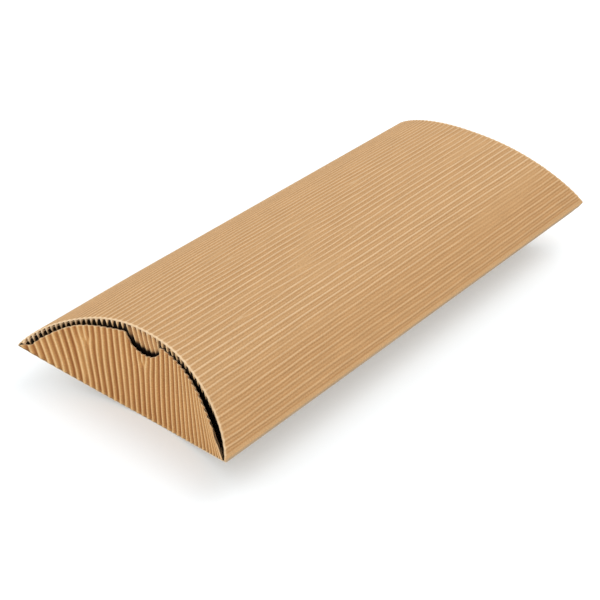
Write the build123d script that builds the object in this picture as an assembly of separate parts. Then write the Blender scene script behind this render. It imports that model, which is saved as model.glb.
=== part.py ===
from build123d import *
import math
import os

import numpy as np

# Closed box, measured over the crests of the flutes
width = 130.0
length = 310.0
height = 54.5

# Section of the pillow: height falls from the middle to the side folds as (1 - x^belly)^side
belly_power = 2.39
side_power = 0.737

# Curved creases: how far in from the corners they lie at the middle, less towards the folds as 1 - s^power
bottom_crease_recess = 25.1
top_crease_recess = 20.4
crease_power = 2.3

# Single-face corrugated board: a fluted sheet outside, a smooth liner inside
flute_width = 3.2
flute_height = 0.95
medium_thickness = 0.25
liner_thickness = 0.25
starch_gap = 0.05
board_thickness = flute_height + medium_thickness + starch_gap + liner_thickness
crushed_fold_width = 4.0
flutes_per_cut = 2

# Shape of one flute, as shares of the pitch from the crest and of the flute's height down from it
crest_share = 0.08
shoulder_share = 0.22
shoulder_depth_share = 0.3
valley_share = 0.42

# End flaps: the outer one folds up from the bottom panel, the inner one down from the top panel
outer_flap_corner_gap = 2.0
outer_flap_drop = 5.5
outer_flap_top_recess = 18.8
inner_flap_flutes = 16
inner_flap_drop = 24.0
inner_flap_lean = 16.0
fold_gap = 0.3
notch_radius = 10.5
notch_rise = 0.5

# Glue flap: joined to the bottom panel at the left fold and glued under the top panel
glue_flap_width = 14.0
glue_flap_length = 250.0
glue_flap_taper = 10.0
glue_thickness = 0.25
glue_clearance = 0.06
glue_line_width = 8.0

# One overrun serves every cut
overrun = 5.0

half_width = width / 2
half_length = length / 2
rise = height / 2
arc_steps = 4000

# The curve of the section, followed by the distance along the board
angles = np.linspace(-math.pi / 2, math.pi / 2, arc_steps)
curve_x = half_width * np.sin(angles)
curve_rise = rise * np.maximum(1 - np.abs(np.sin(angles)) ** belly_power, 0) ** side_power
curve_length = np.concatenate([[0], np.cumsum(np.hypot(np.diff(curve_x), np.diff(curve_rise)))])
developed_width = float(curve_length[-1])
half_arc = developed_width / 2
curve_s = curve_length - half_arc


def across(s):
    """Distance from the middle plane to the board at s along it."""
    return float(np.interp(s, curve_s, curve_x))


def rise_at(s):
    """Height of the crests above the fold plane at s along the board."""
    return float(np.interp(s, curve_s, curve_rise))


def recess_at(s, recess):
    """How far a crease lies in from the corners at s, for its recess at the middle."""
    return recess * (1 - (abs(s) / half_arc) ** crease_power)


def bottom_section(s):
    """Crest line of the bottom panel, in the XZ plane."""
    return across(s), -rise_at(s)


outer_lean = (bottom_crease_recess - outer_flap_top_recess) / (height - outer_flap_drop)
inner_lean = math.tan(math.radians(inner_flap_lean))


def outer_flap_plan(s):
    """Crest line of the outer front flap where it passes the fold plane, in the XY plane."""
    return across(s), recess_at(s, bottom_crease_recess) - half_length - outer_lean * rise_at(s)


def inner_flap_plan(s):
    """Crest line of the inner front flap where it passes the fold plane, in the XY plane."""
    return across(s), recess_at(s, top_crease_recess) - half_length + inner_lean * rise_at(s)


def slope(curve, s):
    """Unit direction of a curve at s, one-sided at the folds."""
    step = flute_width * shoulder_share
    low, high = max(s - step, -half_arc), min(s + step, half_arc)
    (x0, y0), (x1, y1) = curve(low), curve(high)
    span = math.hypot(x1 - x0, y1 - y0)
    return (x1 - x0) / span, (y1 - y0) / span


def inset(curve, s, depth):
    """Point at a depth inside the crest line, square to it."""
    x, y = curve(s)
    run, climb = slope(curve, s)
    if abs(s) >= half_arc:
        run, climb = 0.0, math.copysign(1.0, s)
    return x - climb * depth, y + run * depth


rounded_flute = ((crest_share, 0), (shoulder_share, shoulder_depth_share), (valley_share, 1))
plain_flute = ((crest_share, 0), (valley_share, 1))


def flute_stations(count, half_flute):
    """Distance and depth along the outside of the fluted sheet, for count flutes each side of the middle."""
    profile = [(-share, depth_share) for share, depth_share in half_flute[::-1]] + list(half_flute)
    return [((k + share) * flute_width, depth_share * flute_height)
            for k in range(-count, count + 1) for share, depth_share in profile]


def valley_stations(count):
    """The same for a smooth sheet, with one point at each valley."""
    return [((k + 0.5) * flute_width, flute_height) for k in range(-count - 1, count + 1)]


def sheet(curve, stations, near, far):
    """Section of a sheet whose faces lie near and far inside the given stations."""
    outside = [inset(curve, s, depth + near) for s, depth in stations]
    inside = [inset(curve, s, depth + far) for s, depth in stations]
    return outside + inside[::-1]


def prism(plane, points, reach):
    """Solid with an outline in a plane, reaching the same way to both sides of it."""
    return extrude(plane * make_face(Polyline(*points, close=True)), amount=reach, both=True)


medium_faces = (0.0, medium_thickness)
liner_faces = (medium_thickness + starch_gap, medium_thickness + starch_gap + liner_thickness)
panel_flutes = int((half_arc - crushed_fold_width) / flute_width - valley_share)

# In XZ drawings the plane's own normal points along -Y
SECTION = Plane.XZ


def with_crushed_folds(stations):
    """Adds the crushed bands, which close to an edge at the side folds."""
    inner = half_arc - crushed_fold_width
    return [(-half_arc, 0.0), (-inner, flute_height)] + stations + [(inner, flute_height), (half_arc, 0.0)]


outer_flap_side = half_arc - outer_flap_corner_gap
inner_flap_side = (inner_flap_flutes + 0.5) * flute_width


def cut_stations(side):
    """Distances at which the curved cuts turn, each in a valley, and the flap's or panel's two sides."""
    right = [(k + 0.5) * flute_width for k in range(0, panel_flutes + 1, flutes_per_cut)]
    right = [s for s in right if s < side - fold_gap] + [side]
    return [-s for s in right[::-1]] + right


def end_curve(recess, side, lean):
    """Plan of a panel's end: on the crease at the corners, and set back behind the folded flap between."""

    def crease(s):
        return across(s), recess_at(s, recess) - half_length

    def seat(s):
        run, _ = slope(crease, s)
        section_run, _ = slope(bottom_section, s)
        return crease(s)[1] + board_thickness / run + lean * board_thickness / section_run + fold_gap

    corner = [crease(s) for s in cut_stations(half_arc) if s < -side - fold_gap]
    middle = [(across(s), seat(s)) for s in cut_stations(side)[1:-1]]
    step = across(side) + fold_gap
    left = corner + [(-step, crease(-side)[1]), (-step, seat(-side))]
    return left + middle + [(-x, y) for x, y in left[::-1]]


def panel_plan(recess, side, lean):
    """Plan of a whole panel, alike at both ends."""
    front = end_curve(recess, side, lean)
    return front + [(x, -y) for x, y in front[::-1]]


def bottom_panel_sheet(stations, faces):
    """One sheet of the bottom panel, trimmed at its two curved creases."""
    blank = prism(SECTION, sheet(bottom_section, stations, *faces), half_length)
    plan = prism(Plane.XY, panel_plan(bottom_crease_recess, outer_flap_side, 0.0), height)
    return blank & plan


def top_panel_sheet(stations, faces):
    """One sheet of the top panel, made upside down and turned over."""
    blank = prism(SECTION, sheet(bottom_section, stations, *faces), half_length)
    plan = prism(Plane.XY, panel_plan(top_crease_recess, inner_flap_side, inner_lean), height)
    return mirror(blank & plan, about=Plane.XY)


def with_flat_sides(stations, side):
    """Carries a flap's sheet on from its last flutes to its sides."""
    between = [(s, depth) for s, depth in stations if abs(s) < side]
    return [(-side, flute_height)] + between + [(side, flute_height)]


def leaning_sheet(plan_curve, lean, stations, faces):
    """One sheet of a front flap: its plan swept up along the flutes, which lean with it."""
    low = rise + overrun
    points = [(x, y + lean * low) for x, y in sheet(plan_curve, stations, *faces)]
    base = Pos(0, 0, -low) * make_face(Polyline(*points, close=True))
    return Solid.extrude(base.face(), Vector(0, -2 * low * lean, 2 * low))


def outer_flap_outline():
    """Outer flap seen from the front: up from the bottom crease to a free edge below the top panel."""
    stations = cut_stations(outer_flap_side)
    lower = [(across(s), fold_gap - rise_at(s)) for s in stations]
    upper = [(across(s), max(rise_at(s) - outer_flap_drop, -fold_gap)) for s in stations]
    return lower + upper[::-1]


def inner_flap_outline():
    """Inner flap seen from the front: down from the top crease to a free edge above the bottom panel."""
    stations = cut_stations(inner_flap_side)
    upper = [(across(s), rise_at(s) - fold_gap) for s in stations]
    lower = [(across(s), min(inner_flap_drop - rise_at(s), 0.0)) for s in stations]
    return lower + upper[::-1]


def thumb_notch():
    """Round cut in the middle of the outer flap's free edge."""
    centre = rise - outer_flap_drop + notch_rise
    return SECTION * Pos(0, centre, 0) * extrude(Circle(notch_radius), amount=length, both=True)


def outer_flap_sheet(stations, faces):
    blank = leaning_sheet(outer_flap_plan, outer_lean, stations, faces)
    return (blank & prism(SECTION, outer_flap_outline(), length)) - thumb_notch()


def inner_flap_sheet(stations, faces):
    blank = leaning_sheet(inner_flap_plan, inner_lean, stations, faces)
    return blank & prism(SECTION, inner_flap_outline(), length)


def under_top_panel(stations, faces, first, last, half, taper):
    """Strip along the left side fold, inside the top panel, between two distances from the fold."""
    left, right = across(first - half_arc), across(last - half_arc)
    plan = [(left, -half), (left, half), (right, half - taper), (right, taper - half)]
    blank = prism(SECTION, sheet(bottom_section, stations, *faces), half_length)
    return mirror(blank & prism(Plane.XY, plan, height), about=Plane.XY)


def glue_flap_sheet(stations, faces):
    """One sheet of the glue flap, whose flutes lie up against the glue."""
    depth = board_thickness + glue_thickness
    deep_faces = [depth + face for face in faces]
    edge = crushed_fold_width + glue_flap_width
    return under_top_panel(stations, deep_faces, crushed_fold_width, edge, glue_flap_length / 2, glue_flap_taper)


def glue_line(stations):
    """Strip of glue between the top panel's liner and the crests of the glue flap."""
    level = [(s, 0.0) for s, depth in stations]
    faces = (board_thickness + glue_clearance, board_thickness + glue_thickness - glue_clearance)
    first = crushed_fold_width + (glue_flap_width - glue_line_width) / 2
    return under_top_panel(level, faces, first, first + glue_line_width, glue_flap_length / 2 - glue_flap_taper, 0)


def standing(shape):
    """Moves a shape from the fold plane to its place above the surface that the box lies on."""
    return Pos(0, 0, rise) * shape


def to_back(shape):
    """The same piece at the other end of the box."""
    return Rot(0, 0, 180) * shape


panel_wave = flute_stations(panel_flutes, rounded_flute)
panel_smooth = valley_stations(panel_flutes)
parts = {
    "bottom_panel_flutes": bottom_panel_sheet(with_crushed_folds(panel_wave), medium_faces),
    "bottom_panel_liner": bottom_panel_sheet(with_crushed_folds(panel_smooth), liner_faces),
    "top_panel_flutes": top_panel_sheet(with_crushed_folds(panel_wave), medium_faces),
    "top_panel_liner": top_panel_sheet(with_crushed_folds(panel_smooth), liner_faces),
    "glue_flap_flutes": glue_flap_sheet(panel_wave, medium_faces),
    "glue_flap_liner": glue_flap_sheet(panel_smooth, liner_faces),
    "glue_line": glue_line(panel_smooth),
}

outer_wave = with_flat_sides(flute_stations(panel_flutes, plain_flute), outer_flap_side)
outer_smooth = with_flat_sides(panel_smooth, outer_flap_side)
inner_wave = with_flat_sides(flute_stations(inner_flap_flutes, plain_flute), inner_flap_side)
inner_smooth = with_flat_sides(valley_stations(inner_flap_flutes), inner_flap_side)
outer_flutes = outer_flap_sheet(outer_wave, medium_faces)
outer_liner = outer_flap_sheet(outer_smooth, liner_faces)
inner_flutes = inner_flap_sheet(inner_wave, medium_faces)
inner_liner = inner_flap_sheet(inner_smooth, liner_faces)
flaps = {"outer_flap_flutes": outer_flutes, "outer_flap_liner": outer_liner,
         "inner_flap_flutes": inner_flutes, "inner_flap_liner": inner_liner}
for name, shape in flaps.items():
    parts["front_" + name] = shape
    parts["back_" + name] = to_back(shape)

os.makedirs("parts", exist_ok=True)
for name, shape in parts.items():
    export_step(standing(shape), "parts/" + name + ".step")

print("developed width", round(developed_width, 2), "flutes", 2 * panel_flutes + 1)
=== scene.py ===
import math

import bpy
import numpy as np
from mathutils import Matrix, Vector


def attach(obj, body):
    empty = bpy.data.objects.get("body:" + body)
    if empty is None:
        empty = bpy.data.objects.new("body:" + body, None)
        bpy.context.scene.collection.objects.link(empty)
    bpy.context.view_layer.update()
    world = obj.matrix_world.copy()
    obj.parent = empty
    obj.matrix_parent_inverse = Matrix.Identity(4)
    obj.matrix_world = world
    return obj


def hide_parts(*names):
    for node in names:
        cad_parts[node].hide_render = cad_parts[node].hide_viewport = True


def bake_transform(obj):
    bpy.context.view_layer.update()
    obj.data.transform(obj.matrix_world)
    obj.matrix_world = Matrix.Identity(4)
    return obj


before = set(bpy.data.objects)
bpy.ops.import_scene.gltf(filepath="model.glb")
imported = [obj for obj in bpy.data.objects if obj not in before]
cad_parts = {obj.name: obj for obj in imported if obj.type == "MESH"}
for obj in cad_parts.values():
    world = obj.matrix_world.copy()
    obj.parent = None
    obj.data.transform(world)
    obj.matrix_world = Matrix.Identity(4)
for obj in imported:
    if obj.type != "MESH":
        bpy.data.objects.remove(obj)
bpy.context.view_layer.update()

# Sizes are in millimetres. s is the distance along the board across the box, 0 in the middle and positive
# on the right; y runs along the flutes, negative at the front; z is the height above the plane of the side
# folds. Flaps are worked out for the front end, and those of the back are turned half round.
MM = 0.001
HALF_WIDTH, HALF_LENGTH, RISE = 65.0, 155.0, 27.25
BELLY, SIDE = 2.39, 0.737  # powers of the section's curve
BOTTOM_RECESS, BOTTOM_POWER = 25.1, 2.3  # how far the bottom creases curve in, and the power of their curve
DIP_AT, DIP_WIDTH, DIP_LENGTH = 45.9, 22.1, 70.0  # where the front end of the top panel is pressed down
PITCH, FLUTE, PAPER, STARCH = 3.2, 0.95, 0.25, 0.05  # pitch and depth of the flutes, a sheet and the bond
LINER_DEPTH = FLUTE + PAPER + STARCH  # of the smooth sheet below the crests
CRUSHED = 2.2  # width of the flattened band beside a side fold
ROLL_RADIUS = 0.5  # of the fluted sheet where it rolls over the panel's crease
ROLL_ANGLES = (104, 92, 78, 64, 50, 37, 24, 12)  # of the rows on the roll, in degrees from the top
ROWS_IN = (0.65, 0.9, 1.15, 1.45, 1.8, 2.2, 2.7, 3.3, 4.1, 5.2, 6.8, 9.0, 12.0, 15.0)  # from the crease
SMOOTH_FROM = 3  # the first of ROWS_IN that the smooth sheet has
PANEL_ROWS = 72  # between the last of ROWS_IN at both ends
# How deep a panel's fluted sheet lies, as shares of FLUTE: crests, crushed band, and crests and wave at a rim
CREST_SUNK, BAND_SUNK, RIM_SUNK, RIM_WAVE = 0.09, 0.5, 0.06, 0.20
INSIDE_PAINTED_SHADE = 0.9  # painted shade on a fluted sheet's inner face, which shows only through gaps
# Rows of a flap as shares of its height, closer together at the fold and at the free edge
FLAP_ROWS = np.concatenate([[0, 0.012, 0.028, 0.05, 0.08, 0.12], np.linspace(0.16, 0.84, 24),
                            [0.88, 0.92, 0.95, 0.972, 0.988, 1.0]])[:, None]
FLUTED_COLUMNS, SMOOTH_COLUMNS = 12, 3  # for each flute
SLOPE_STEP = 0.7  # half the distance over which a slope is taken
OUTER_SIDE, OUTER_DROP = 73.4, 5.57  # half length along the board; how far the free edge is below the rim
INNER_SIDE, INNER_DROP = 72.0, 24.0  # half length along the board; how far the free edge is above the bottom
INNER_LEAN = 0.2867  # of the closed inner flap, inwards on its way down
OUTER_INSET, INNER_INSET = 0.2, 0.7  # how far a flap is set in from the section's curve
OUTER_CURL, INNER_CURL = 25, 9  # length of the stretch beside a flap's crease that curl gives
NOTCH_RADIUS, NOTCH_RISE, NOTCH_X = 10.4, 0.52, -3.7  # NOTCH_RISE: of its centre above the free edge

# The curve of the section, followed by the distance along the board
turn = np.linspace(-math.pi / 2, math.pi / 2, 8001)
curve_x = HALF_WIDTH * np.sin(turn)
curve_z = RISE * np.maximum(1 - np.abs(np.sin(turn)) ** BELLY, 0) ** SIDE
arc = np.concatenate([[0], np.cumsum(np.hypot(np.diff(curve_x), np.diff(curve_z)))])
HALF_ARC = arc[-1] / 2
curve_s = arc - HALF_ARC


def across(s):
    return np.interp(s, curve_s, curve_x)


def rise(s):
    return np.interp(s, curve_s, curve_z)


def ease(low, high, value):
    """Smooth step from 0 at low to 1 at high."""
    t = np.clip((value - low) / (high - low), 0, 1)
    return t * t * (3 - 2 * t)


def both_sides(s):
    """Places a step before and after s, on the board."""
    return np.clip(s - SLOPE_STEP, -HALF_ARC, HALF_ARC), np.clip(s + SLOPE_STEP, -HALF_ARC, HALF_ARC)


def section_normal(s):
    """Outward normal of the top panel's section, turned level at the side folds."""
    low, high = both_sides(s)
    nx, nz = rise(low) - rise(high), across(high) - across(low)
    level = ease(HALF_ARC - 2.5, HALF_ARC, np.abs(s))
    size = np.hypot(nx, nz)
    nx, nz = nx / size * (1 - level) + np.sign(s) * level, nz / size * (1 - level)
    size = np.hypot(nx, nz)
    return nx / size, nz / size


def even_phase(s):
    """Number of flutes from the middle, evenly spaced, a little wider towards the corners of a flap."""
    wider_from, widening = 42, 0.00155
    return s / PITCH - np.sign(s) * widening * np.maximum(np.abs(s) - wider_from, 0) ** 2


def drawn_phase(s):
    """Number of flutes from the middle of the top panel, closer to the left and wider to the right, as
    counted in the photo."""
    off = s - 5
    return off / PITCH - 0.000371 * off ** 2 + 0.00000261 * off ** 3


def bottom_recess(s):
    """How far a bottom crease curves in."""
    return BOTTOM_RECESS * (1 - np.abs(s / HALF_ARC) ** BOTTOM_POWER)


class Rim:
    """The curved crease at one end of the top panel, a little lopsided as in the photo, and what hangs on it.

    lean is the closed outer flap's outward lean: in the middle, its growth to the right, and what is added
    towards the right and the left end. torn is 1 where that flap's right corner is crushed away, else 0.
    """

    def __init__(self, deepest, power, skew, pressed, lean, torn):
        self.deepest, self.power, self.skew, self.pressed = deepest, power, skew, pressed
        self.lean, self.torn = lean, torn

    def recess(self, s):
        """How far the crease curves in."""
        return self.deepest * (1 - np.abs(s / HALF_ARC) ** self.power) * (1 - self.skew * s / HALF_ARC)

    def dip(self, s):
        """How far the end of the panel is pressed down beside its middle."""
        near_side = np.clip((HALF_ARC - np.abs(s)) / 6, 0, 1)
        return self.pressed * np.exp(-((np.abs(s) - DIP_AT) / DIP_WIDTH) ** 2) * near_side

    def rise(self, s):
        """Height of the crease."""
        return rise(s) - self.dip(s)

    def outer_lean(self, s):
        """Outward lean of the closed outer flap; its ends are pushed out by the board folded behind them."""
        middle, slant, right, left = self.lean
        return middle + slant * s / HALF_ARC + np.where(s > 0, right, left) * (s / HALF_ARC) ** 2


RIMS = {
    "front": Rim(deepest=20.65, power=2.03, skew=0.116, pressed=1.56, lean=(0.077, 0.0, 0.45, 0.32), torn=1),
    "back": Rim(deepest=16.67, power=3.07, skew=-0.197, pressed=0.0, lean=(0.165, -0.12, 0.1, 0.1), torn=0),
}


class Field:
    """Smooth random field of about unit size over two distances, as a sum of plane waves."""

    def __init__(self, seed, along_s, along_v, count=24):
        rng = np.random.RandomState(seed)
        self.a = rng.normal(size=count) / along_s
        self.b = rng.normal(size=count) / along_v
        self.p = rng.uniform(0, 2 * math.pi, count)

    def __call__(self, s, v):
        total = 0.0
        for a, b, p in zip(self.a, self.b, self.p):
            total = total + np.cos(a * s + b * v + p)
        return total * math.sqrt(2 / len(self.p))


class Flutes:
    """The wave of a fluted sheet: even flutes that drift, fork and fade as real ones do.

    forks: place, sign (1 adds a flute, -1 takes one away) and length of each fork.
    spots: place, sizes and slant of each flattened spot.
    """

    QUICK_DRIFT = 0.4  # of the drift over short distances, as a share of the drift over long ones
    FLAT_FADE = 4  # how much flutes fade in flat places, as a multiple of the fading elsewhere
    FORK_FADE, FORK_CORE = 0.5, 2.5  # how much flutes fade at a fork, and how sharply
    SPOT_FADE = 0.65

    def __init__(self, seed, drift, fading, crest=0.0, valley=0.5, phase=even_phase, forks=(), spots=()):
        self.drift, self.fading, self.crest, self.valley, self.phase = drift, fading, crest, valley, phase
        self.seed, self.forks, self.spots = seed, forks, spots
        self.slow, self.quick = Field(seed, 7.0, 55.0), Field(seed + 1, 2.5, 10.0)
        self.strength, self.flat = Field(seed + 2, 2.4, 30.0), Field(seed + 3, 6.0, 26.0)

    def __call__(self, s, v, near_crease):
        """Share of the pitch from the nearest crest, wave (0 on a crest, 1 in a valley) and strength.
        near_crease is 0 on a crease, where the flutes are even, and 1 away from it."""
        drift = self.drift * self.slow(s, v) + self.QUICK_DRIFT * self.drift * self.quick(s, v)
        phase = self.phase(s) + drift * near_crease / PITCH
        strength = 1 - self.fading + self.fading * np.clip(self.strength(s, v), -2.2, 1)
        flat = ease(0.9, 1.9, self.flat(s, v))
        strength = strength * (1 - self.FLAT_FADE * self.fading * flat * near_crease)
        for fork_s, fork_v, sign, reach in self.forks:
            phase = phase + sign * np.arctan2((v - fork_v) / reach, (s - fork_s) / PITCH) / (2 * math.pi)
            core = ((s - fork_s) / PITCH) ** 2 + ((v - fork_v) / reach) ** 2
            strength = strength * (1 - self.FORK_FADE * np.exp(-self.FORK_CORE * core))
        for spot_s, spot_v, size_s, size_v, slant in self.spots:
            off = ((s - spot_s - slant * (v - spot_v)) / size_s) ** 2 + ((v - spot_v) / size_v) ** 2
            strength = strength * (1 - self.SPOT_FADE * np.exp(-off))
        share = np.abs(phase - np.round(phase))
        return share, ease(self.crest, self.valley, share), np.clip(strength, 0.1, 1.1)


# Materials
def new_material(name):
    material = bpy.data.materials.new(name)
    material.use_nodes = True
    return material, material.node_tree, material.node_tree.nodes["Principled BSDF"]


def add_node(tree, kind, inputs=None, **settings):
    node = tree.nodes.new(kind)
    for key, value in settings.items():
        setattr(node, key, value)
    for key, value in (inputs or {}).items():
        if isinstance(value, bpy.types.NodeSocket):
            tree.links.new(value, node.inputs[key])
        else:
            node.inputs[key].default_value = value
    return node


def mix(tree, factor, a, b, blend="MIX"):
    inputs = {0: factor, 6: a, 7: b}
    return add_node(tree, "ShaderNodeMix", inputs, data_type="RGBA", blend_type=blend).outputs[2]


def ramp(tree, value, stops):
    node = add_node(tree, "ShaderNodeValToRGB", {"Fac": value})
    points = node.color_ramp.elements
    while len(points) < len(stops):
        points.new(0.5)
    for point, (place, level) in zip(points, stops):
        point.position = place
        point.color = level if isinstance(level, tuple) else (level, level, level, 1)
    return node.outputs["Color"]


def noise(tree, vector, scale, detail=4.0, rough=0.55, stretch=None, turn_by=0.0):
    if stretch:
        mapping = {"Vector": vector, "Scale": stretch, "Rotation": (0, 0, turn_by)}
        vector = add_node(tree, "ShaderNodeMapping", mapping).outputs[0]
    inputs = {"Vector": vector, "Scale": scale, "Detail": detail, "Roughness": rough}
    return add_node(tree, "ShaderNodeTexNoise", inputs).outputs["Fac"]


def kraft(name, light, body, valley, bump=0.25, crest=0.38, shaded=False):
    """Unbleached kraft paper: fibres, flecks and mottling; painted shade in the valleys and a painted
    highlight on the crests; paler where creased, and painted light on crests that light would reach. With
    shaded, the painted shadow of deep gaps shows only while another sheet is close by."""
    material, tree, shader = new_material(name)
    flat = add_node(tree, "ShaderNodeUVMap", uv_map="flat").outputs[0]
    depth, wear_and_painted_light, painted_shadow = [add_node(tree, "ShaderNodeAttribute", attribute_name=key).outputs["Fac"]
                         for key in ("depth", "wear_and_painted_light", "painted_shadow")]
    # Ambient occlusion keeps the painted shadow only where another sheet is close by
    if shaded:
        open_sky = add_node(tree, "ShaderNodeAmbientOcclusion", {"Distance": 0.02}, samples=8).outputs["AO"]
        closed = ramp(tree, open_sky, ((0.62, 1.0), (0.93, 0.0)))
        painted_shadow = add_node(tree, "ShaderNodeMath", {0: painted_shadow, 1: closed}, operation="MULTIPLY").outputs[0]
    fibres = noise(tree, flat, 60.0, 3.0, 0.6, (1.0, 9.0, 1.0), 0.35)
    cross = noise(tree, flat, 70.0, 3.0, 0.6, (8.0, 1.0, 1.0), -0.2)
    clouds = noise(tree, flat, 6.0, 3.0, 0.5)
    flecks = noise(tree, flat, 180.0, 2.0, 0.5, (1.0, 2.2, 1.0), 0.8)
    streaks = noise(tree, flat, 12.0, 4.0, 0.65, (8.0, 0.45, 1.0))
    grain = noise(tree, flat, 130.0, 2.0, 0.6)
    # Painted shade and highlight: pale crests, darker flanks and valleys, by the depth attribute
    tone = ramp(tree, depth, ((0.0, light), (crest, body), (1.0, valley)))
    for share, pattern, darkest_at, none_at, darkest in (
            (0.35, fibres, 0.3, 0.7, 0.78), (0.25, cross, 0.35, 0.65, 0.8), (0.5, clouds, 0.3, 0.7, 0.93),
            (0.7, flecks, 0.2, 0.33, 0.55), (0.6, streaks, 0.3, 0.7, 0.78), (1.0, grain, 0.3, 0.7, 0.76)):
        darkening = ramp(tree, pattern, ((darkest_at, darkest), (none_at, 1.0)))
        tone = mix(tree, share, tone, darkening, "MULTIPLY")
    # Paler where the board is creased, cut or crushed, and painted light on the inner flap's crests under the
    # rim
    tone = mix(tree, wear_and_painted_light, tone, (0.95, 0.73, 0.48, 1))
    # Near-black painted shadow in the gaps under the rim and on the inner faces of fluted sheets
    tone = mix(tree, painted_shadow, tone, (0.012, 0.006, 0.003, 1))
    tree.links.new(tone, shader.inputs["Base Color"])
    shader.inputs["Roughness"].default_value = 0.82
    shader.inputs["Specular IOR Level"].default_value = 0.25
    height = mix(tree, 0.5, fibres, cross)
    relief = add_node(tree, "ShaderNodeBump", {"Strength": bump, "Distance": 0.00006, "Height": height})
    tree.links.new(relief.outputs[0], shader.inputs["Normal"])
    return material


def glue_material():
    material, tree, shader = new_material("dried_glue")
    place = add_node(tree, "ShaderNodeTexCoord").outputs["Object"]
    tone = ramp(tree, noise(tree, place, 90.0), ((0.3, (0.80, 0.74, 0.60, 1)), (0.7, (0.90, 0.86, 0.74, 1))))
    tree.links.new(tone, shader.inputs["Base Color"])
    shader.inputs["Roughness"].default_value = 0.45
    height = noise(tree, place, 260.0)
    relief = add_node(tree, "ShaderNodeBump", {"Strength": 0.3, "Distance": 0.0001, "Height": height})
    tree.links.new(relief.outputs[0], shader.inputs["Normal"])
    return material


# One kraft paper in copies coloured for the light on each surface: the flap copy has paler crests and body
# and darker valleys (painted light and shade); the underside copy is darker and greyer (painted shade, which
# also weakens its coloured bounce onto the floor)
KRAFT_FLUTES = kraft("kraft_fluted", (0.72, 0.49, 0.277, 1), (0.60, 0.36, 0.166, 1), (0.48, 0.248, 0.093, 1))
KRAFT_FLAP_PAINTED_LIGHT = kraft("kraft_flap_painted_light", (0.97, 0.645, 0.315, 1), (0.75, 0.395, 0.139, 1), (0.385, 0.138, 0.035, 1),
                   crest=0.27, shaded=True)
KRAFT_UNDER_SHADED = kraft("kraft_underside_shaded", (0.62, 0.46, 0.30, 1), (0.52, 0.36, 0.21, 1), (0.42, 0.26, 0.13, 1))
KRAFT_LINER = kraft("kraft_smooth", (0.60, 0.40, 0.22, 1), (0.60, 0.40, 0.22, 1), (0.60, 0.40, 0.22, 1))
GLUE = glue_material()


# Meshes
def build_sheet(name, outer, inner, values, material, turned=False, flip=False):
    """Closed sheet between two grids of points. values holds, for each point of a grid, its flat coordinates
    s and v, the tone's depth (painted shade), the wear and painted light, the painted shadow, and the painted
    shade of the inner face."""
    rows, columns = outer.shape[:2]
    count = rows * columns
    points = np.concatenate([outer.reshape(-1, 3), inner.reshape(-1, 3)])
    if turned:
        points = points * (-1, -1, 1)
    points = (points + (0, 0, RISE)) * MM
    index = np.arange(count).reshape(rows, columns)
    face = np.stack([index[:-1, :-1], index[:-1, 1:], index[1:, 1:], index[1:, :-1]], -1).reshape(-1, 4)
    loop = np.concatenate([index[0, :-1], index[:-1, -1], index[-1, :0:-1], index[:0:-1, 0]])
    ahead = np.roll(loop, -1)
    edge = np.stack([ahead, loop, loop + count, ahead + count], -1)
    faces = np.concatenate([face, face[:, ::-1] + count, edge])
    if flip:
        faces = faces[:, ::-1]
    mesh = bpy.data.meshes.new(name)
    mesh.from_pydata(points.tolist(), [], faces.tolist())
    mesh.polygons.foreach_set("use_smooth", np.ones(len(faces), bool))
    mesh.set_sharp_from_angle(angle=math.radians(60))
    flat = np.stack([values["s"], values["v"]], -1).reshape(-1, 2) * 0.01  # one unit is 100 mm
    flat = np.concatenate([flat, flat])
    corner = np.empty(len(mesh.loops), np.int32)
    mesh.loops.foreach_get("vertex_index", corner)
    mesh.uv_layers.new(name="flat").data.foreach_set("uv", flat[corner].astype(np.float32).ravel())
    for key, inside in (("depth", "depth"), ("wear_and_painted_light", "wear_and_painted_light"), ("painted_shadow", "inner_face_shade")):
        both = np.concatenate([values[key].ravel(), values[inside].ravel()]).astype(np.float32)
        mesh.attributes.new(key, "FLOAT", "POINT").data.foreach_set("value", both)
    mesh.materials.append(material)
    piece = bpy.data.objects.new(name, mesh)
    bpy.context.scene.collection.objects.link(piece)
    return piece


def columns_across(side, per_flute, extra=()):
    """Places of a mesh's columns from -side to side, with the extra ones."""
    count = int(round(2 * side / PITCH * per_flute))
    return np.unique(np.concatenate([np.linspace(-side, side, count + 1), np.array(extra, float)]))


def crease_rows(smooth):
    """Rows from a crease onto the panel: distance in from the crease and drop below the crests, for the outer
    and the inner face of the paper, and the distance that wear and fading go by, 0 all over the roll."""
    angles = np.radians(ROLL_ANGLES)
    core = ROLL_RADIUS - PAPER
    flat = [(distance, 0.0) for distance in ROWS_IN]
    out = [(ROLL_RADIUS * (1 - math.sin(a)), ROLL_RADIUS * (1 - math.cos(a))) for a in angles] + flat
    into = [(ROLL_RADIUS - core * math.sin(a), ROLL_RADIUS - core * math.cos(a)) for a in angles]
    into += [(distance, PAPER) for distance in ROWS_IN]
    inward = [0.0] * len(ROLL_ANGLES) + list(ROWS_IN)
    first = len(ROLL_ANGLES) + SMOOTH_FROM if smooth else 0
    return np.array(out)[first:], np.array(into)[first:], np.array(inward)[first:, None]


def whole(at_front, middle, at_back):
    """Rows of a panel from end to end; those at its back are given from the crease inwards."""
    return np.concatenate([at_front, middle, at_back[::-1]])


def panel_shade(s, share, wave, strength, fade, band):
    """Painted shade of a panel's fluted sheet: pale crests, darkest on the flanks; to the right painted shade
    darkens all of it but for a painted highlight along the valleys. The rims are pale, and the crushed bands
    even."""
    firm = np.clip(strength, 0, 1)
    flank = 4 * wave * (1 - wave)
    shade = 0.40 + firm * (0.54 * flank + 0.50 * wave - 0.46)
    shade = shade - 0.22 * ease(22.0, 46.0, s) * firm * np.exp(-((share - 0.5) / 0.09) ** 2)
    shade = shade + 0.26 * ease(30.0, 60.0, s)
    return shade * fade * (1 - band) + 0.42 * band


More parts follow.
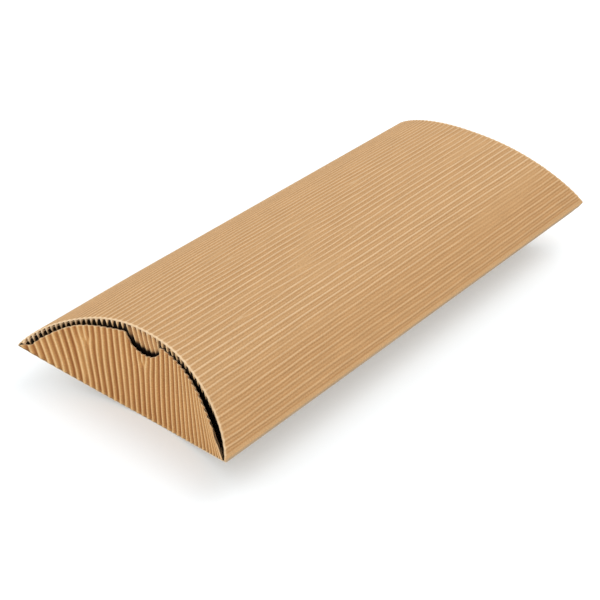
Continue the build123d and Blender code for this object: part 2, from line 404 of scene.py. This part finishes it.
def panel(name, nodes, material, upside, flutes=None, base=0.0, side_gap=0.0, relief=0.6, wear=0.45):
    """A whole vaulted panel: upside 1 is the top one and -1 the bottom one. A panel without flutes is a
    smooth sheet, and base is its depth in the board; wear is the paleness of the rims of a fluted one."""
    top = upside > 0
    s = columns_across(HALF_ARC - side_gap, FLUTED_COLUMNS if flutes else SMOOTH_COLUMNS)
    front = HALF_LENGTH - (RIMS["front"].recess if top else bottom_recess)(s)
    back = HALF_LENGTH - (RIMS["back"].recess if top else bottom_recess)(-s)
    out, into, near = crease_rows(smooth=not flutes)
    start, stop = -front + ROWS_IN[-1], back - ROWS_IN[-1]
    middle = start + (stop - start) * np.linspace(0, 1, PANEL_ROWS + 2)[1:-1, None]
    no_drop = np.zeros((PANEL_ROWS, 1))
    y = whole(-front + out[:, :1], middle, back - out[:, :1])
    y_in = whole(-front + into[:, :1], middle, back - into[:, :1])
    drop_out = whole(out[:, 1:], no_drop, out[:, 1:])
    drop_in = whole(into[:, 1:], no_drop + PAPER, into[:, 1:])
    near = near + 0 * s
    inward = whole(near, np.minimum(middle + front, back - middle), near)
    s = np.broadcast_to(s, y.shape)
    away = ease(0.0, 12.0, inward)
    if flutes:
        fade = ease(0.0, 2.0, inward)
        band = ease(HALF_ARC - CRUSHED - 0.2, HALF_ARC - CRUSHED + 0.8, np.abs(s))
        to_fold = np.clip((HALF_ARC - np.abs(s)) / CRUSHED, 0, 1)
        share, wave, strength = flutes(s, y, away)
        laid = relief * strength * wave * (1 - band) + band * to_fold * BAND_SUNK + CREST_SUNK
        at_rim = RIM_SUNK + RIM_WAVE * wave * (1 - band)
        depth = FLUTE * (fade * laid + (1 - fade) * at_rim)
        # Painted shade of the flutes, turned into colour by the tone ramp
        shade = panel_shade(s, share, wave, strength, fade, band)
        wear_and_painted_light = (1 - 0.4 * wave) * wear * (1 - ease(0.15, 1.05, inward)) * (1 - 0.5 * ease(20.0, 50.0, s))
        # Painted shade on the inner face, which shows only through gaps
        inner_face_shade = INSIDE_PAINTED_SHADE + 0 * y
    else:
        plain = np.zeros(y.shape)
        depth, shade, wear_and_painted_light, inner_face_shade = base + 0.3 * (1 - away), plain + 0.5, plain, plain
    nx, nz = section_normal(s)
    sunk = RIMS["front"].dip(s) * (1 - ease(0.0, DIP_LENGTH, y + front)) if top else 0.0
    grids = []
    for along, drop in ((y, drop_out), (y_in, drop_in)):
        d = depth + drop
        grids.append(np.stack([across(s) - nx * d, along, upside * (rise(s) - nz * d) - sunk], -1))
    values = {"s": s, "v": y, "depth": shade, "wear_and_painted_light": wear_and_painted_light, "painted_shadow": 0 * y, "inner_face_shade": inner_face_shade}
    piece = build_sheet(name, grids[0], grids[1], values, material, flip=not top)
    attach(piece, "box")
    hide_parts(*nodes)
    return piece


def outer_span(s, rim):
    """Heights of the outer flap's fold and free edge, with the thumb notch and the torn right corner."""
    low = -rise(s) + 0.25 * section_normal(s)[1]
    # The edge stands higher about 41 mm left of the middle, and lower at the left tip
    drop = OUTER_DROP - 2.7 * np.exp(-((s + 41) / 15) ** 2) + 1 - ease(-70.0, -58.0, s)
    most = np.where(s < 0, 0.85, 1.05) * rise(s)
    torn = 21 * ease(52.5, 61.0, s) + 0.8 * Field(17, 0.35, 1.0)(s, 0) * ease(50.0, 54.0, s)
    high = np.maximum(rim.rise(s) - np.minimum(drop, most) - torn * rim.torn, low + 0.15)
    x = across(s) - NOTCH_X
    inside = np.maximum(NOTCH_RADIUS ** 2 - x ** 2, 0)
    cut = RISE - OUTER_DROP + NOTCH_RISE - np.sqrt(inside)
    return low, np.where(inside > 0, np.minimum(high, cut), high)


def inner_span(s, rim):
    """Heights of the inner flap's free edge and of its fold under the rim."""
    high = rim.rise(s) - INNER_INSET * section_normal(s)[1]
    at_ends = -0.75 * rise(s) * ease(46.0, 56.0, np.abs(s))
    return np.minimum(np.minimum(INNER_DROP - rise(s), at_ends), high - 0.3), high


def outer_plan(s, rim):
    """Where the outer flap stands along the box, at the height of the side folds."""
    return bottom_recess(s) - HALF_LENGTH - rim.outer_lean(s) * rise(s)


def inner_plan(s, rim):
    """Where the inner flap would stand along the box, at the height of the side folds."""
    return rim.recess(s) - HALF_LENGTH + INNER_LEAN * rim.rise(s)


def plan_normal(plan, s, rim):
    """Unit run and climb of a flap's plan curve at s."""
    low, high = both_sides(s)
    run, climb = across(high) - across(low), plan(high, rim) - plan(low, rim)
    size = np.hypot(run, climb)
    return run / size, climb / size


def notch_columns():
    """Places of the columns that the edge of the thumb notch needs."""
    sides = [sign * (NOTCH_RADIUS + off) for sign in (-1, 1) for off in (-0.5, -0.1, -0.02, 0.02, 0.3)]
    return [np.interp(NOTCH_X + x, curve_x, curve_s) for x in sides]


def gap_reach(s):
    """How far down light reaches the inner flap under the rim."""
    return 3.0 + (1 - ease(-6.0, 16.0, s)) + 2.5 * (1 - ease(-64.0, -34.0, s)) + 3.0 * ease(20.0, 50.0, s)


def gap_shadow(s, from_fold, share):
    """Painted shadow on the inner flap in the gap under the rim: between the crests, more so further down,
    until all of it is dark, soonest right of the notch."""
    t = np.clip((from_fold - 0.3) / gap_reach(s), 0, 1.3)
    soon = ease(5.0, 12.0, s) * (1 - ease(26.0, 36.0, s))
    narrowing = np.clip((from_fold - 0.4 - 0.4 * soon) / 2.2, 0, 1) ** 0.6
    lit_width = 0.50 - 0.32 * narrowing - 0.06 * t - 0.25 * ease(0.9, 1.25, t)
    between_crests = ease(lit_width - 0.035, lit_width + 0.035, share)
    low_down = ease(0.6 - 0.15 * soon, 0.9 - 0.25 * soon, t) * (0.3 + 0.7 * soon)
    return np.maximum(between_crests, low_down)


def notch_shadow(x, z, from_fold, wave):
    """Painted shadow on the inner flap in the notch: in the valleys by the fold, and along its lower left
    edge.
    """
    from_light = np.hypot(x - NOTCH_X + 0.3, z - 22.5)
    valleys = 0.85 * ease(0.15, 0.9, from_fold) * (1 - ease(2.0, 7.0, from_fold)) * ease(0.6, 0.98, wave)
    return np.maximum(valleys, ease(NOTCH_RADIUS - 2.6, NOTCH_RADIUS - 0.6, from_light))


def inner_shadow(s, rim, from_fold, share, wave):
    """Painted shadow on the inner flap, seen only under the rim and through the notch of the outer flap."""
    x, z = across(s), rim.rise(s) - from_fold
    from_view = np.hypot(x - NOTCH_X + 1.8, z - 20.6) - 0.9 * ease(0.0, 6.0, x - NOTCH_X)
    in_notch = 1 - ease(NOTCH_RADIUS + 0.1, NOTCH_RADIUS + 1.1, from_view)
    shadow = in_notch * notch_shadow(x, z, from_fold, wave) + (1 - in_notch) * gap_shadow(s, from_fold, share)
    return shadow * ease(-2.0, 3.0, z + 12 * ease(30.0, 55.0, np.abs(s)))


def lit_crests(s, from_fold, share):
    """Painted light: paleness of the inner flap's crests under the rim, where light would reach them."""
    strength = 0.55 + 0.35 * ease(14.0, 34.0, -s) - 0.35 * ease(6.0, 16.0, s)
    return strength * (1 - ease(0.2, 0.8 * gap_reach(s), from_fold)) * (1 - ease(0.1, 0.36, share))


def curl(outer, rim, side, facing):
    """Start and stop, in metres, of a stretch beside a flap's crease. It starts where all of the curved fold
    is past, and runs square to the fold's plane."""
    deepest, climb, level = (BOTTOM_RECESS, 1, 0.0) if outer else (rim.deepest, -1, 2 * RISE)
    onward, base = Vector((RISE, climb * deepest)).normalized(), (deepest - HALF_LENGTH, level)
    fold = np.linspace(-side, side, 99)
    fold_recess = bottom_recess(fold) if outer else rim.recess(fold)
    fold_rise = rise(fold) if outer else rim.rise(fold)
    lead = max(onward[0] * (fold_recess - deepest) + onward[1] * (climb * (RISE - fold_rise)))
    start = Vector((0, facing * (base[0] + lead * onward[0]), base[1] + lead * onward[1])) * MM
    reach = OUTER_CURL if outer else INNER_CURL
    return start, start + Vector((0, facing * onward[0], onward[1])) * reach * MM


def flap(name, end, kind, material, flutes, smooth=False):
    """The fluted or the smooth sheet of a flap; the outer flap rises from the bottom crease, and the inner
    one hangs from the top crease."""
    outer, rim = kind == "outer", RIMS[end]
    side, inset = (OUTER_SIDE, OUTER_INSET) if outer else (INNER_SIDE, INNER_INSET)
    plan = outer_plan if outer else inner_plan
    s = columns_across(side, FLUTED_COLUMNS, notch_columns() if outer else ())
    low, high = outer_span(s, rim) if outer else inner_span(s, rim)
    if outer and smooth:  # at the torn corner the fluted sheet stands above the smooth one
        high = np.maximum(high - 3 * rim.torn * ease(36.0, 54.0, s), low + 0.1)
    z = low + (high - low) * FLAP_ROWS
    s = np.broadcast_to(s, z.shape)
    from_fold, from_edge = (z - low, high - z) if outer else (high - z, z - low)
    share, wave, strength = flutes(s, z, ease(0.0, 8.0, from_fold))

    # The free edge is cut a little shorter in the valleys, and is ragged
    at_edge = 1 - ease(0.0, 1.5, from_edge)
    ragged = Field(flutes.seed + 7, 0.9, 4.0)(s, z)
    z = z - (1 if outer else -1) * at_edge * (0.30 * wave + 0.10 * ragged + 0.1) * ease(0.4, 2.0, high - low)

    # Near its ends the flap faces straight ahead
    run, climb = plan_normal(plan, s, rim)
    straight = ease(46.0, 62.0, np.abs(s))
    run, climb = run + straight * (1 - run), climb * (1 - straight)

    # The flutes fade in at the fold, and are flat at the ends and where the corner is crushed
    crushed = rim.torn * ease(50.0, 60.0, s) if outer else 0 * s
    strength = strength * (1 - 0.8 * crushed)
    band = ease(side - 2.0, side - 0.3, np.abs(s))
    starts = (-0.6, 1.6) if outer else (-1.4, 1.0)
    fluted = FLUTE * wave * strength * ease(*starts, from_fold) * (1 - 0.8 * band)
    if outer:
        flute_depth, tuck = fluted, 0.0
    else:  # deeper under the rim, and tucked further in at the ends
        flute_depth = fluted * (1 + 0.5 * (1 - ease(1.0, 6.0, from_fold)))
        tuck = 0.12 * (1 - ease(0.3, 1.4, from_fold)) + 0.5 * straight * ease(0.5, 5.0, from_fold)
    if smooth:
        pressed = np.maximum(at_edge, ease(side - 1.5, side, np.abs(s)))
        free = np.maximum(LINER_DEPTH, flute_depth + PAPER)
        depth = pressed * (flute_depth + PAPER + 0.02) + (1 - pressed) * free
        values = {"depth": 0.5 + 0 * z, "wear_and_painted_light": 0 * z, "painted_shadow": 0 * z, "inner_face_shade": 0 * z}
    else:
        depth = flute_depth
        if outer:
            wear_and_painted_light, painted_shadow = 0.45 * (1 - ease(0.0, 0.5, from_edge)), 0 * z
        else:
            # Painted light on the inner flap's crests under the rim
            wear_and_painted_light = np.maximum(lit_crests(s, from_fold, share), 0.06)
            # Painted shadow on the inner flap under the rim and in the notch
            painted_shadow = inner_shadow(s, rim, from_fold, share, wave)
        # Painted shade, darker in the valleys by the flutes' depth, and on the inner face; the crushed corner
        # is paler by real wear
        shade = np.clip(fluted / FLUTE, 0, 1)
        values = {"depth": shade, "wear_and_painted_light": wear_and_painted_light + 0.2 * crushed, "painted_shadow": painted_shadow, "inner_face_shade": INSIDE_PAINTED_SHADE + 0 * z}

    lean = rim.outer_lean(s) if outer else INNER_LEAN
    grids = []
    for extra in (0.0, PAPER):
        d = depth + extra + tuck
        x = across(s) - section_normal(s)[0] * inset - climb * d
        grids.append(np.stack([x, plan(s, rim) - lean * z + run * d, z], -1))
    values.update(s=s, v=z)
    piece = build_sheet(name, grids[0], grids[1], values, material, turned=end == "back")
    start, stop = curl(outer, rim, side, 1 if end == "front" else -1)
    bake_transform(piece)
    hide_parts("%s_%s_flap_%s" % (end, kind, "liner" if smooth else "flutes"))
    return piece


def top_forks(pairs=6, length=12.0):
    """Forks of the top panel in pairs: a flute that starts at the first fork ends at the second, or the
    reverse."""
    rng = np.random.RandomState(5)
    forks = []
    for _ in range(pairs):
        first_s, first_v = rng.uniform(-20, 35), rng.uniform(-105, 10)
        apart, sign = rng.uniform(15, 60), rng.choice([-1, 1])
        forks.append((first_s, first_v, sign, length))
        forks.append((first_s + rng.uniform(-3, 3), min(first_v + apart, 112.0), -sign, length))
    return forks


TOP_SPOTS = [(0.0, -16.0, 4.0, 10.0, -0.45), (14.0, -38.0, 4.0, 11.0, -0.4),
             (-24.0, -60.0, 3.0, 12.0, -0.2)]
panel("top_fluted_sheet", ["top_panel_flutes"], KRAFT_FLUTES, 1,
      Flutes(11, drift=0.22, fading=0.11, crest=0.05, valley=0.42, phase=drawn_phase,
             forks=top_forks(), spots=TOP_SPOTS))
panel("top_smooth_sheet", ["top_panel_liner"], KRAFT_LINER, 1, base=LINER_DEPTH, side_gap=0.6)
panel("bottom_fluted_sheet", ["bottom_panel_flutes"], KRAFT_UNDER_SHADED, -1,
      Flutes(31, drift=0.3, fading=0.1), relief=0.9, wear=0.0)

FLAP_FORKS = {"outer": [(-35.5, 9.0, -1, 4.0), (-5.0, 6.5, -1, 4.0)], "inner": []}
FLAP_SEEDS = {("front", "outer"): 50, ("front", "inner"): 70, ("back", "outer"): 90, ("back", "inner"): 110}
for (end, kind), seed in FLAP_SEEDS.items():
    flutes = Flutes(seed, drift=0.22, fading=0.06, forks=FLAP_FORKS[kind],
                    phase=drawn_phase if kind == "inner" else even_phase)
    flap("%s_%s_fluted_sheet" % (end, kind), end, kind, KRAFT_FLAP_PAINTED_LIGHT, flutes)
    flap("%s_%s_smooth_sheet" % (end, kind), end, kind, KRAFT_LINER, flutes, smooth=True)

# The nodes that no sheet replaces keep the CAD's shape
for node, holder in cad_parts.items():
    if holder.hide_render:
        continue
    material = GLUE if node == "glue_line" else KRAFT_FLUTES if node.endswith("flutes") else KRAFT_LINER
    for place in holder.material_slots:
        place.material = material

# Floor, light and camera
floor_material, _, floor_shader = new_material("floor_paper")
floor_shader.inputs["Base Color"].default_value = (0.64, 0.665, 0.685, 1)
floor_shader.inputs["Emission Color"].default_value = (0.975, 1.0, 0.995, 1)
floor_shader.inputs["Emission Strength"].default_value = 0.28
floor_shader.inputs["Roughness"].default_value = 0.9
floor_shader.inputs["Specular IOR Level"].default_value = 0.1
floor_mesh = bpy.data.meshes.new("floor")
floor_mesh.from_pydata([(-6, -6, 0), (6, -6, 0), (6, 6, 0), (-6, 6, 0)], [], [(0, 1, 2, 3)])
floor_mesh.materials.append(floor_material)
floor = bpy.data.objects.new("floor", floor_mesh)
bpy.context.scene.collection.objects.link(floor)

world = bpy.data.worlds.new("studio")
world.use_nodes = True
world.node_tree.nodes["Background"].inputs["Color"].default_value = (1, 1, 1, 1)
world.node_tree.nodes["Background"].inputs["Strength"].default_value = 1.15
bpy.context.scene.world = world


def area_light(name, place, aim, size, power):
    data = bpy.data.lights.new(name, "AREA")
    data.size, data.energy = size, power
    light = bpy.data.objects.new(name, data)
    light.location = place
    light.rotation_euler = (Vector(aim) - Vector(place)).to_track_quat("-Z", "Y").to_euler()
    bpy.context.scene.collection.objects.link(light)


area_light("key", (0.45, 0.3, 1.55), (0, 0, 0), 1.0, 8.0)

# The camera as fitted to the photo: radians, metres from the middle of the box, and pixels
AZIMUTH, ELEVATION, ROLL = 0.62409, 0.5607, 0.06735
DISTANCE = 0.83966
FOCAL, SHIFT_U, SHIFT_V, PIXELS = 1612.86, 25.403, -32.6975, 600
SENSOR = 36  # millimetres
back = Vector((math.sin(AZIMUTH) * math.cos(ELEVATION), -math.cos(AZIMUTH) * math.cos(ELEVATION),
               math.sin(ELEVATION)))
level = Vector((math.cos(AZIMUTH), math.sin(AZIMUTH), 0))
above = back.cross(level)
right = math.cos(ROLL) * level + math.sin(ROLL) * above
up = -math.sin(ROLL) * level + math.cos(ROLL) * above
camera_data = bpy.data.cameras.new("camera")
camera_data.sensor_width = SENSOR
camera_data.lens = FOCAL / PIXELS * SENSOR
camera_data.shift_x, camera_data.shift_y = -SHIFT_U / PIXELS, SHIFT_V / PIXELS
camera_data.clip_start, camera_data.clip_end = 0.01, 50
camera = bpy.data.objects.new("camera", camera_data)
camera.matrix_world = Matrix.Translation(back * DISTANCE + Vector((0, 0, RISE * MM))) @ Matrix(
    (right, up, back)).transposed().to_4x4()
bpy.context.scene.collection.objects.link(camera)
bpy.context.scene.camera = camera
bpy.context.scene.view_settings.view_transform = "Standard"
